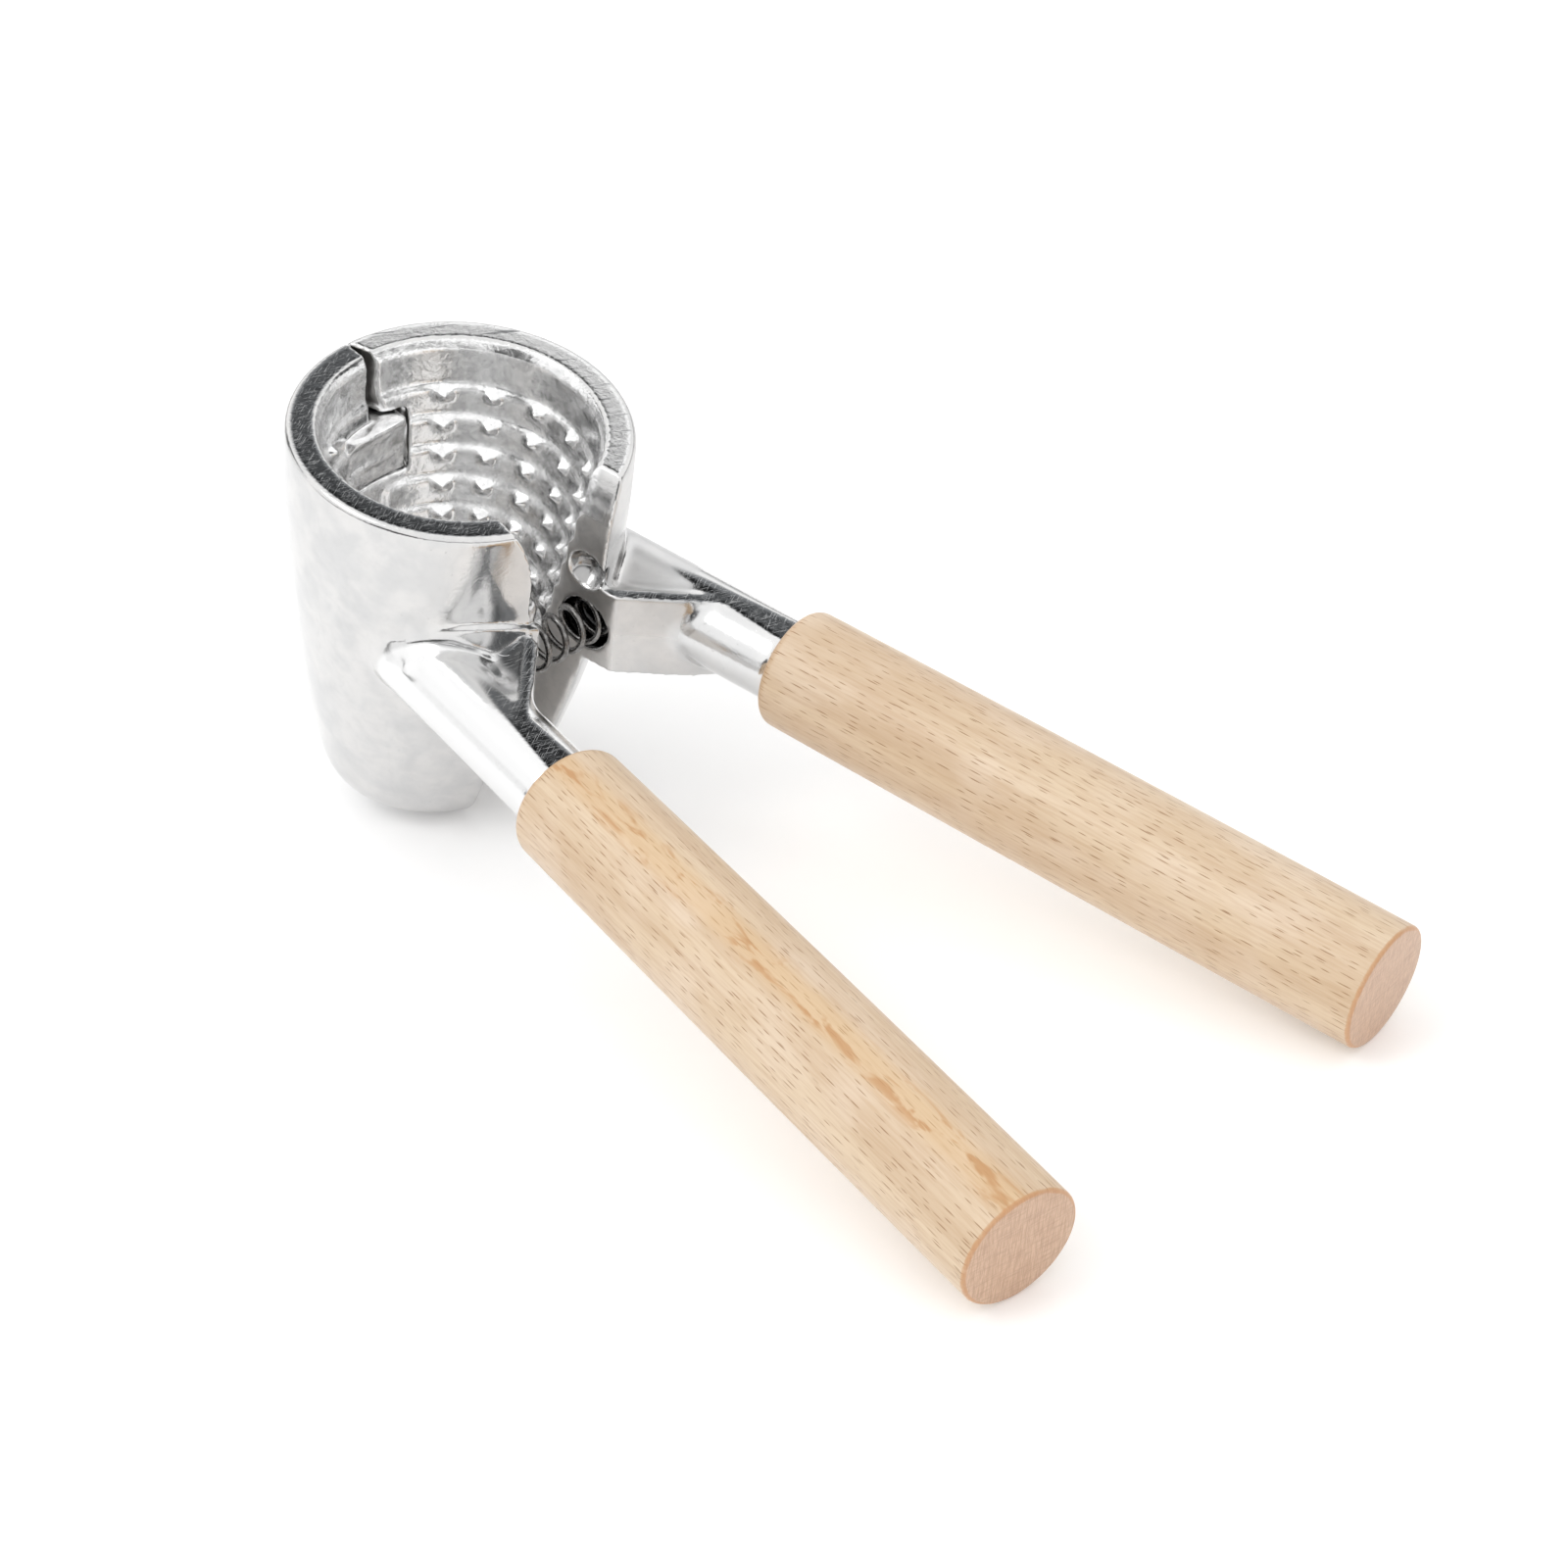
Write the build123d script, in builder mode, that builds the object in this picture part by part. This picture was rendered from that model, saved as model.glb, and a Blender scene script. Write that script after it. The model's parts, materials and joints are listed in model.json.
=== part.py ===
from build123d import *
import os
from math import cos, radians, sin, tan

# A hinged walnut cracker: two half-cup jaws on one upright pin, each with an arm that ends in a
# round tang inside a turned wooden handle, and a compression spring that holds the jaws open.
#
# Everything is drawn in the tool frame first: the cup's axis is Z, the rim lies in z = 0, the
# handles run towards +X and the left jaw is on the +Y side. The jaws stand open, as the spring
# holds them. The finished pieces are then tipped onto the cup's foot and the two handle ends.

# Cup, outside: height, reach towards the handles, and reach to the sides
CUP_SECTIONS = [
    (0.0, 26.3, 26.3),
    (-16.0, 25.8, 25.9),
    (-34.0, 23.5, 24.0),
    (-50.0, 19.4, 21.5),
    (-68.3, 14.0, 17.2),
]
RIM_R = 26.3
RIM_ROUND = 1.1
FOOT_ROUND = 9.0

# Cup, inside: a bevelled mouth, a smooth band, then steps that narrow to a round floor
MOUTH_R = 21.8
BAND_R = 20.8
BEVEL_DEPTH = 1.8
STEP_COUNT = 7
STEP_TOP = 8.2
STEP_PITCH = 5.1
STEP_IN = 1.04
STEP_DRAFT = 0.15
STEP_BEVEL = (0.45, 0.75)

# Teeth: one pyramid under each step's edge, in columns
TOOTH_COLUMNS = 6
TOOTH_FIRST_DEG = 32.8
TOOTH_SPACING_DEG = 22.4
TOOTH_WIDTH = 4.4
TOOTH_HEIGHT = 3.4
TOOTH_ROOT = 0.15
TOOTH_REACH = 1.7
TOOTH_TIP = 0.5
TOOTH_BELOW_EDGE = 0.3
TOOTH_TIP_DROP = 0.7

# Hinge: the jaws' plane of parting, the lugs and the pin
HINGE_X = -21.0
OPEN_HALF_DEG = 9.1
MOVING_GAP = 0.3
LUG_TOP = -11.4
LUG_MIDDLE = -21.7
LUG_LOWER = -32.2
LUG_BOTTOM = -58.0
LUG_INNER_X = -17.2
LUG_ROOT = 5.9
LUG_TIP = 5.3
LUG_R = 6.4
LUG_ROOM_R = 6.7
PIN_R = 1.9
PIN_RUNNING_R = 1.95
PIN_TOP = -14.0
PIN_LENGTH = 28.5
SLIT_INNER = (-19.9, 2.0)

# Front corner of the rim, eased back from the parting face
EASE_START = 30.0
EASE_BACK = 3.4
EASE_MIDDLE = (1.2, -4.8)
EASE_DEPTH = 12.5

# Spring pockets, spring, and the locating nub with its dimple
SPRING_REACH = 43.4
SPRING_Z = -28.0
POCKET_R = 4.35
POCKET_DEPTH = 5.2
SPRING_X = 21.3
SPRING_LENGTH = 21.4
SPRING_R = 3.28
WIRE_R = 0.53
WIRE_FACETS = 16
SPRING_PITCH = 3.3
NUB_REACH = 43.0
NUB_Z = -17.7
NUB_R = 2.5
NUB_NECK = 0.4
DIMPLE_R = 2.8

# Arm: a round bar in line with the handle, and a web from the parting face to the bar
HANDLE_START = (50.2, 23.25, -26.0)
HANDLE_SPLAY_DEG = 8.05
HANDLE_RISE_DEG = 1.63
BAR_R = 6.6
BAR_LENGTH = 48.0
TANG_R = 5.0
TANG_LENGTH = 36.0
WEB_CORNER_X = 27.0
WEB_TURN_DEG = 46.5
WEB_LENGTH = 19.6
WEB_BACK = (10.0, 17.5)
ARM_TOP = -19.85
WEB_BOTTOM = -34.8
WEB_LAND = 2.2
WEB_HOLLOW = (6.0, -2.9)
WEB_HOLLOW_END = (11.0, -3.6)

# Handle
HANDLE_LENGTH = 105.7
HANDLE_FRONT_R = 9.45
HANDLE_MIDDLE_R = 9.75
HANDLE_END_R = 9.8
HANDLE_FRONT_ROUND = 1.6
HANDLE_END_ROUND = 0.7
SOCKET_R = 5.02
SOCKET_DEPTH = 38.0

# Tilt of the whole tool at rest on the ground
TILT_DEG = 13.56

FAR = 80.0
PARTING = Vector(cos(radians(OPEN_HALF_DEG)), sin(radians(OPEN_HALF_DEG)), 0)
INTO_LEFT = Vector(-PARTING.Y, PARTING.X, 0)


def parting_point(reach, z):
    """A point on the left jaw's parting face, a reach away from the hinge axis."""
    return Vector(HINGE_X, 0, z) + PARTING * reach + INTO_LEFT * (MOVING_GAP / 2)


def facing_left(reach, z):
    """A plane on the left parting face that looks into the left jaw."""
    return Plane(origin=parting_point(reach, z), x_dir=PARTING, z_dir=INTO_LEFT)


def handle_plane(distance=0.0):
    """A plane across the left handle's axis, a distance behind the handle's front face."""
    splay = radians(HANDLE_SPLAY_DEG)
    rise = radians(HANDLE_RISE_DEG)
    along = Vector(cos(splay) * cos(rise), sin(splay) * cos(rise), sin(rise))
    return Plane(origin=Vector(*HANDLE_START) + along * distance, x_dir=(0, 0, 1), z_dir=along)


def step_z(step):
    """Height of a step's flat top."""
    return -STEP_TOP - STEP_PITCH * step


def step_radius(step):
    """Inner radius of the wall just under a step's edge."""
    return BAND_R - STEP_IN * (step + 1)


def tooth_plane(step, column, depth, drop):
    """A plane in the wall under a step's edge that looks towards the cup's axis."""
    turn = radians(TOOTH_FIRST_DEG + TOOTH_SPACING_DEG * column)
    reach = step_radius(step) + depth
    origin = (reach * cos(turn), reach * sin(turn), step_z(step) - TOOTH_BELOW_EDGE - drop)
    return Plane(origin=origin, x_dir=(sin(turn), -cos(turn), 0), z_dir=(-cos(turn), -sin(turn), 0))


# The cup's outside as one solid, from which the jaws and the hinge lugs are cut
with BuildPart() as cup:
    for height, front, side in CUP_SECTIONS:
        with BuildSketch(Plane.XY.offset(height)):
            with Locations(((front - side) / 2, 0)):
                Ellipse((front + side) / 2, side)
    loft()
    fillet(cup.edges().group_by(Axis.Z)[-1], RIM_ROUND)
    fillet(cup.edges().group_by(Axis.Z)[0], FOOT_ROUND)

# The room inside the cup
with BuildPart() as cavity:
    with BuildSketch(Plane.XZ):
        with BuildLine():
            outline = [(0, BEVEL_DEPTH), (2 * MOUTH_R - BAND_R, BEVEL_DEPTH), (BAND_R, -BEVEL_DEPTH)]
            for step in range(STEP_COUNT):
                outline.append((step_radius(step) + STEP_IN - STEP_DRAFT, step_z(step)))
                outline.append((step_radius(step) + STEP_BEVEL[0], step_z(step)))
                outline.append((step_radius(step), step_z(step) - STEP_BEVEL[1]))
            floor_edge = (step_radius(STEP_COUNT - 1) - STEP_DRAFT, step_z(STEP_COUNT))
            Polyline(*outline, floor_edge)
            CenterArc((0, floor_edge[1]), floor_edge[0], 0, -90)
            Line((0, floor_edge[1] - floor_edge[0]), (0, BEVEL_DEPTH))
        make_face()
    revolve(axis=Axis.Z)

# The side of the parting faces that belongs to the left jaw
with BuildPart() as left_side:
    with BuildSketch(Plane.XY.offset(-FAR)):
        with BuildLine():
            hinge_point = parting_point(0, 0)
            front_point = parting_point(2 * FAR, 0)
            Polyline(
                (-FAR, MOVING_GAP / 2),
                (hinge_point.X, MOVING_GAP / 2),
                (front_point.X, front_point.Y),
                (front_point.X, FAR),
                (-FAR, FAR),
                close=True,
            )
        make_face()
    extrude(amount=2 * FAR)

# The web between the parting face and the bar: its plan, crossed with its section
web_turn = radians(WEB_TURN_DEG)
web_along = Vector(cos(web_turn), sin(web_turn), 0)
web_inward = Vector(-sin(web_turn), cos(web_turn), 0)
web_corner = Vector(WEB_CORNER_X, (WEB_CORNER_X - HINGE_X) * tan(radians(OPEN_HALF_DEG)), 0)
with BuildPart() as web:
    with BuildSketch(Plane.XY.offset(WEB_BOTTOM)):
        with BuildLine():
            web_end = web_corner + web_along * WEB_LENGTH
            Polyline(
                (web_corner.X, web_corner.Y),
                (web_end.X, web_end.Y),
                WEB_BACK,
                (WEB_BACK[0], 0),
                (WEB_CORNER_X, 0),
                close=True,
            )
        make_face()
    extrude(amount=ARM_TOP - WEB_BOTTOM)
    with BuildSketch(Plane(origin=web_corner - web_along * FAR, x_dir=web_inward, z_dir=web_along)):
        with BuildLine():
            hollow_start = (WEB_LAND, ARM_TOP)
            hollow_middle = (WEB_HOLLOW[0], ARM_TOP + WEB_HOLLOW[1])
            hollow_end = (WEB_HOLLOW_END[0], ARM_TOP + WEB_HOLLOW_END[1])
            ThreePointArc(hollow_start, hollow_middle, hollow_end)
            Polyline(
                hollow_end,
                (FAR, hollow_end[1]),
                (FAR, WEB_BOTTOM),
                (-FAR, WEB_BOTTOM),
                (-FAR, ARM_TOP),
                hollow_start,
            )
        make_face()
    extrude(amount=2 * FAR, mode=Mode.INTERSECT)

# The arm: bar and web, ground to one flat on top, with the tang for the handle
with BuildPart() as arm:
    with BuildSketch(handle_plane(-BAR_LENGTH)):
        Circle(BAR_R)
    extrude(amount=BAR_LENGTH)
    add(web.part)
    split(bisect_by=Plane.XY.offset(ARM_TOP), keep=Keep.BOTTOM)
    with BuildSketch(handle_plane()):
        Circle(TANG_R)
    extrude(amount=TANG_LENGTH)

# The corner that is eased off the front end of each half rim
with BuildPart() as easing:
    with BuildSketch(Plane(origin=parting_point(EASE_START, 0), x_dir=INTO_LEFT, z_dir=PARTING)):
        with BuildLine():
            ThreePointArc((0, -EASE_DEPTH), EASE_MIDDLE, (EASE_BACK, 0))
            Polyline(
                (EASE_BACK, 0),
                (EASE_BACK, RIM_ROUND),
                (-MOVING_GAP, RIM_ROUND),
                (-MOVING_GAP, -EASE_DEPTH),
                (0, -EASE_DEPTH),
            )
        make_face()
    extrude(amount=EASE_START)

# The teeth on the left half of the cup's wall
with BuildPart() as teeth:
    for step in range(STEP_COUNT):
        for column in range(TOOTH_COLUMNS):
            with BuildSketch(tooth_plane(step, column, TOOTH_ROOT, TOOTH_HEIGHT / 2)):
                Rectangle(TOOTH_WIDTH, TOOTH_HEIGHT)
            with BuildSketch(tooth_plane(step, column, -TOOTH_REACH, TOOTH_TIP_DROP)):
                Rectangle(TOOTH_TIP, TOOTH_TIP)
            loft()

# What both jaws have in common, as the left one
with BuildPart() as half:
    add(cup.part)
    add(arm.part)
    add(cavity.part, mode=Mode.SUBTRACT)
    add(left_side.part, mode=Mode.INTERSECT)
    add(easing.part, mode=Mode.SUBTRACT)
    add(teeth.part)
    with BuildSketch(facing_left(SPRING_REACH, SPRING_Z)):
        Circle(POCKET_R)
    extrude(amount=POCKET_DEPTH, mode=Mode.SUBTRACT)


def hinge_room(top, bottom):
    """The round space that a jaw leaves around a lug of the other jaw."""
    with BuildPart() as room:
        with BuildSketch(Plane.XY.offset(bottom - MOVING_GAP / 2)):
            with Locations((HINGE_X, 0)):
                Circle(LUG_ROOM_R)
        extrude(amount=top - bottom + MOVING_GAP)
    return room.part


def flat_lug(top, bottom, side):
    """A lug with a flat inner face, rooted in the jaw on the given side of the hinge."""
    with BuildPart() as lug:
        with BuildSketch(Plane.XY.offset(bottom + MOVING_GAP / 2)):
            with BuildLine():
                Polyline(
                    (-RIM_R, -side * LUG_TIP),
                    (LUG_INNER_X, -side * LUG_TIP),
                    (LUG_INNER_X, 0),
                    (-RIM_R, 0),
                    close=True,
                )
            make_face()
            with Locations((HINGE_X, 0)):
                Circle(LUG_R, mode=Mode.INTERSECT)
            with BuildLine():
                Polyline(
                    (-RIM_R, side * LUG_ROOT),
                    (LUG_INNER_X, side * LUG_ROOT),
                    (LUG_INNER_X, 0),
                    (-RIM_R, 0),
                    close=True,
                )
            make_face()
        extrude(amount=top - bottom - MOVING_GAP)
        add(cup.part, mode=Mode.INTERSECT)
    return lug.part


def round_lug(top, bottom):
    """A lug that fills its round room, level with the cup's wall inside and out."""
    with BuildPart() as lug:
        with BuildSketch(Plane.XY.offset(bottom + MOVING_GAP / 2)):
            with Locations((HINGE_X, 0)):
                Circle(LUG_R)
        extrude(amount=top - bottom - MOVING_GAP)
        add(cup.part, mode=Mode.INTERSECT)
        add(cavity.part, mode=Mode.SUBTRACT)
    return lug.part


def pin_hole(radius):
    """The upright hole of the hinge, from the pin's top end down through the cup's wall."""
    with BuildPart() as hole:
        with BuildSketch(Plane.XY.offset(PIN_TOP)):
            with Locations((HINGE_X, 0)):
                Circle(radius)
        extrude(amount=-FAR)
    return hole.part


# Left jaw: the middle lug, the rooms for the right jaw's lugs, and the dimple
with BuildPart() as left_jaw:
    add(half.part)
    add(hinge_room(LUG_TOP, LUG_MIDDLE), mode=Mode.SUBTRACT)
    add(hinge_room(LUG_LOWER, LUG_BOTTOM), mode=Mode.SUBTRACT)
    add(flat_lug(LUG_MIDDLE, LUG_LOWER, 1))
    add(pin_hole(PIN_RUNNING_R), mode=Mode.SUBTRACT)
    with BuildSketch(Plane.XY.offset(LUG_TOP)):
        with BuildLine():
            Polyline((-RIM_R, 0), SLIT_INNER, (LUG_INNER_X, SLIT_INNER[1]), (LUG_INNER_X, 0), close=True)
        make_face()
    extrude(amount=-2 * LUG_TOP, mode=Mode.SUBTRACT)
    with Locations(parting_point(NUB_REACH, NUB_Z)):
        Sphere(DIMPLE_R + NUB_NECK, mode=Mode.SUBTRACT)

# Right jaw: the upper and lower lugs, the room for the left jaw's lug, and the nub
with BuildPart() as right_jaw:
    add(mirror(half.part, about=Plane.XZ))
    add(hinge_room(LUG_MIDDLE, LUG_LOWER), mode=Mode.SUBTRACT)
    add(flat_lug(LUG_TOP, LUG_MIDDLE, -1))
    add(round_lug(LUG_LOWER, LUG_BOTTOM))
    add(pin_hole(PIN_R), mode=Mode.SUBTRACT)
    nub_point = parting_point(NUB_REACH, NUB_Z)
    with Locations((nub_point.X, -nub_point.Y, nub_point.Z)):
        Sphere(NUB_R + NUB_NECK)

# Hinge pin, pressed into the right jaw's lugs and free to turn in the left jaw's
with BuildPart() as hinge_pin:
    with BuildSketch(Plane.XY.offset(PIN_TOP)):
        with Locations((HINGE_X, 0)):
            Circle(PIN_R)
    extrude(amount=-PIN_LENGTH)

# Spring, coiled between the bottoms of the two pockets, its wire drawn with flat facets
with BuildPart() as spring:
    with BuildLine() as coil:
        spring_start = (SPRING_X, -SPRING_LENGTH / 2, SPRING_Z)
        Helix(SPRING_PITCH, SPRING_LENGTH, SPRING_R, center=spring_start, direction=(0, 1, 0))
    with BuildSketch(coil.line ^ 0):
        RegularPolygon(WIRE_R, WIRE_FACETS)
    sweep(is_frenet=True)

# Left handle: a turned grip with a blind socket for the tang
handle_start = handle_plane()
handle_along = handle_start.z_dir
handle_section = Plane(handle_start.origin, x_dir=handle_along, z_dir=handle_along.cross(Vector(0, 0, 1)))
with BuildPart() as left_handle:
    with BuildSketch(handle_section):
        with BuildLine():
            ThreePointArc(
                (0, HANDLE_FRONT_R),
                (HANDLE_LENGTH / 2, HANDLE_MIDDLE_R),
                (HANDLE_LENGTH, HANDLE_END_R),
            )
            Polyline(
                (HANDLE_LENGTH, HANDLE_END_R),
                (HANDLE_LENGTH, 0),
                (SOCKET_DEPTH, 0),
                (SOCKET_DEPTH, SOCKET_R),
                (0, SOCKET_R),
                (0, HANDLE_FRONT_R),
            )
        make_face()
        fillet(vertices().sort_by(Axis.Y)[-2], HANDLE_FRONT_ROUND)
        fillet(vertices().sort_by(Axis.Y)[-1], HANDLE_END_ROUND)
    revolve(axis=Axis(handle_start.origin, handle_along))

# Right handle
with BuildPart() as right_handle:
    mirror(left_handle.part, about=Plane.XZ)

# Tip every piece onto the ground and put the origin under the middle of the whole tool
pieces = [left_jaw, right_jaw, hinge_pin, spring, left_handle, right_handle]
tilt = Location((0, 0, 0), (0, TILT_DEG, 0))
for piece in pieces:
    piece.part.move(tilt)
whole = Compound(children=[piece.part.moved(Location()) for piece in pieces]).bounding_box()
for piece in pieces:
    piece.part.move(Location((-whole.center().X, -whole.center().Y, -whole.min.Z)))

os.makedirs("parts", exist_ok=True)

left_jaw.part.label = "left_jaw"
export_step(left_jaw.part, "parts/left_jaw.step")

right_jaw.part.label = "right_jaw"
export_step(right_jaw.part, "parts/right_jaw.step")

hinge_pin.part.label = "hinge_pin"
export_step(hinge_pin.part, "parts/hinge_pin.step")

spring.part.label = "spring"
export_step(spring.part, "parts/spring.step")

left_handle.part.label = "left_handle"
export_step(left_handle.part, "parts/left_handle.step")

right_handle.part.label = "right_handle"
export_step(right_handle.part, "parts/right_handle.step")
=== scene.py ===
import bpy
import bmesh
import json
import math
import numpy as np
from mathutils import Matrix, Vector


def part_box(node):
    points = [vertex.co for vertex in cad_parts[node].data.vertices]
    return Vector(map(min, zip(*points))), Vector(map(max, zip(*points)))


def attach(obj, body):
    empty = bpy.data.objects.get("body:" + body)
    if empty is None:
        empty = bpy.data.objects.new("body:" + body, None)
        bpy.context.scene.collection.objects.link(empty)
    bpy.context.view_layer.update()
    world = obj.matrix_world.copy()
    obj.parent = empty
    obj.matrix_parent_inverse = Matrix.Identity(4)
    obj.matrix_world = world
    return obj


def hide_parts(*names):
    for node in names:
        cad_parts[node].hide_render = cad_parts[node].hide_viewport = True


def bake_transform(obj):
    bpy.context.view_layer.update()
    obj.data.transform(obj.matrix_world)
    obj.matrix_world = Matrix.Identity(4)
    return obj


MM = 0.001

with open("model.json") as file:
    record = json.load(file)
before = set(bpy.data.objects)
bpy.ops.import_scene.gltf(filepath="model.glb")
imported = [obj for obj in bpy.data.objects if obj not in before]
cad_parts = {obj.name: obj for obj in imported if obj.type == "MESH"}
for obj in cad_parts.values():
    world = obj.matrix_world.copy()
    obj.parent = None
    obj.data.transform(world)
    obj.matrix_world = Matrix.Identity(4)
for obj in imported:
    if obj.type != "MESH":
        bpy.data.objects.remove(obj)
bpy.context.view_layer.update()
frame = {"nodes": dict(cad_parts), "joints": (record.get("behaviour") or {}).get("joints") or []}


# ---------------------------------------------------------------- places, all from the frame

def array_of(mesh):
    """A mesh's vertices as an array of rows."""
    points = np.empty(len(mesh.vertices) * 3, np.float32)
    mesh.vertices.foreach_get("co", points)
    return points.reshape(-1, 3).astype(float)


def normals_of(mesh):
    """A mesh's vertex normals as an array of rows."""
    normals = np.empty(len(mesh.vertices) * 3, np.float32)
    mesh.vertex_normals.foreach_get("vector", normals)
    return normals.reshape(-1, 3).astype(float)


hinge = frame["joints"][0]
HINGE_AT = np.array(hinge["pos_m"])
CUP_UP = np.array(hinge["axis"]) / np.linalg.norm(hinge["axis"])
SIDE = np.array((0.0, 1.0, 0.0))
CUP_FRONT = np.cross(SIDE, CUP_UP)

# The cup's own frame, in millimetres: its axis is Z, the rim's top is z = 0, the handles are at +X,
# and the left jaw is at +Y
HINGE_REACH = 21.0
RIM_HEIGHT = ((array_of(frame["nodes"]["left_jaw"].data) - HINGE_AT) @ CUP_UP).max() / MM
CUP_AXES = np.array((CUP_FRONT, SIDE, CUP_UP))
CUP_ORIGIN = HINGE_AT + (CUP_FRONT * HINGE_REACH + CUP_UP * RIM_HEIGHT) * MM


def to_cup(points):
    """Points of the row frame, in metres, as points of the cup's frame, in millimetres."""
    return (points - CUP_ORIGIN) @ CUP_AXES.T / MM


def from_cup(points):
    """Points of the cup's frame, in millimetres, as points of the row frame, in metres."""
    return np.asarray(points, float) @ CUP_AXES * MM + CUP_ORIGIN


def grip_axis(node):
    """A grip's axis: its front end, its direction, and its length in millimetres."""
    points = array_of(frame["nodes"][node].data)
    middle = points.mean(axis=0)
    axis = np.linalg.svd(points - middle, full_matrices=False)[2][0]
    axis = axis * np.sign(axis[0])
    spans = (points - middle) @ axis
    return middle + axis * spans.min(), axis, (spans.max() - spans.min()) / MM


# Dimensions of the CAD jaws, in the cup's frame
ARM_TOP = -19.85
RIM_R = 26.3
BAND_R = 20.8
OPEN_HALF = math.radians(9.1)
DIMPLE_AT = (43 * math.cos(OPEN_HALF) - HINGE_REACH, 43 * math.sin(OPEN_HALF), -17.7)

# The steps inside the cup, and the teeth under their edges
STEP_COUNT = 7
STEP_TOP = 8.2
STEP_PITCH = 5.1
STEP_IN = 1.04
STEP_BEVEL = (0.45, 0.75)
STEP_DRAFT = 0.15
TOOTH_REACH = 1.7
TOOTH_SPAN = 3.9


def smooth_step(values, low, high):
    """0 below low, 1 above high, and smooth between them."""
    t = np.clip((values - low) / (high - low), 0, 1)
    return t * t * (3 - 2 * t)


def store(mesh, name, values, domain="POINT"):
    """Keeps numbers on a mesh for its material to read."""
    kind = "FLOAT" if values.ndim == 1 else "FLOAT_VECTOR"
    field = "value" if values.ndim == 1 else "vector"
    attribute = mesh.attributes.new(name, kind, domain)
    attribute.data.foreach_set(field, values.astype(np.float32).ravel())


def new_object(name, data):
    thing = bpy.data.objects.new(name, data)
    bpy.context.collection.objects.link(thing)
    return thing


def stand_for(piece, node, body):
    """A visual piece takes a CAD node's place and motion."""
    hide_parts(node)
    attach(piece, body)


# ---------------------------------------------------------------- material graphs

class Graph:
    """The nodes of a material or a world, added one call at a time."""

    def __init__(self, owner):
        owner.use_nodes = True
        self.tree = owner.node_tree

    def add(self, kind, wires, output=0, **settings):
        """Adds a node, sets its settings, wires or sets its inputs, and returns one output."""
        node = self.tree.nodes.new(kind)
        for key, value in settings.items():
            setattr(node, key, value)
        for key, value in wires.items():
            self.wire(node.inputs[key], value)
        return node.outputs[output]

    def wire(self, socket, value):
        if isinstance(value, bpy.types.NodeSocket):
            self.tree.links.new(value, socket)
        else:
            socket.default_value = value

    def attribute(self, name, output="Vector"):
        return self.add("ShaderNodeAttribute", {}, output, attribute_name=name)

    def stretch(self, vector, scale, shift=(0, 0, 0)):
        return self.add("ShaderNodeMapping", {0: vector, "Location": shift, "Scale": scale})

    def turn(self, vector, angle):
        """A vector turned about Z."""
        return self.add("ShaderNodeMapping", {0: vector, "Rotation": (0, 0, angle)})

    def noise(self, vector, scale, detail=2.0, roughness=0.5, distortion=0.0):
        wires = {"Vector": vector, "Scale": scale, "Detail": detail}
        wires.update({"Roughness": roughness, "Distortion": distortion})
        return self.add("ShaderNodeTexNoise", wires)

    def math(self, operation, a, b=0.0):
        return self.add("ShaderNodeMath", {0: a, 1: b}, operation=operation)

    def between(self, value, low, high, to_low=0.0, to_high=1.0):
        """A smooth ramp of a value from low to high."""
        wires = {"Value": value, "From Min": low, "From Max": high}
        wires.update({"To Min": to_low, "To Max": to_high})
        return self.add("ShaderNodeMapRange", wires, interpolation_type="SMOOTHSTEP")

    def blend(self, factor, a, b):
        """A number between two."""
        return self.add("ShaderNodeMix", {0: factor, 2: a, 3: b})

    def mix(self, factor, a, b):
        """A colour between two."""
        return self.add("ShaderNodeMix", {0: factor, 6: a, 7: b}, 2, data_type="RGBA")


class Finish(Graph):
    """A material's graph, with its shader."""

    def __init__(self, name):
        self.material = bpy.data.materials.new(name)
        super().__init__(self.material)
        self.shader = self.tree.nodes["Principled BSDF"]

    def set(self, **inputs):
        """Sets or wires the shader's own inputs, with _ for a space in their names."""
        for key, value in inputs.items():
            self.wire(self.shader.inputs[key.replace("_", " ")], value)

    def bump(self, layers):
        """Bump from a list of (height, strength, distance in millimetres) layers."""
        normal = None
        for height, strength, distance in layers:
            wires = {"Height": height, "Strength": strength, "Distance": distance * MM}
            if normal is not None:
                wires["Normal"] = normal
            normal = self.add("ShaderNodeBump", wires)
        self.set(Normal=normal)


def grey(value, warm=0.0):
    """A neutral colour, a little warmer or cooler."""
    return (value * (1 + warm), value, value * (1 - warm), 1)


def scratches(graph, place, angle, spacing, seed):
    """Fine straight scratches in one direction on the cup's level flats."""
    stretched = (1 / spacing, 0.035 / spacing, 0.02)
    lines = graph.stretch(graph.turn(place, angle), stretched, (seed, 0, 0))
    return graph.between(graph.noise(lines, 1.0, 2.0, 0.6), 0.6, 0.7)


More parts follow.
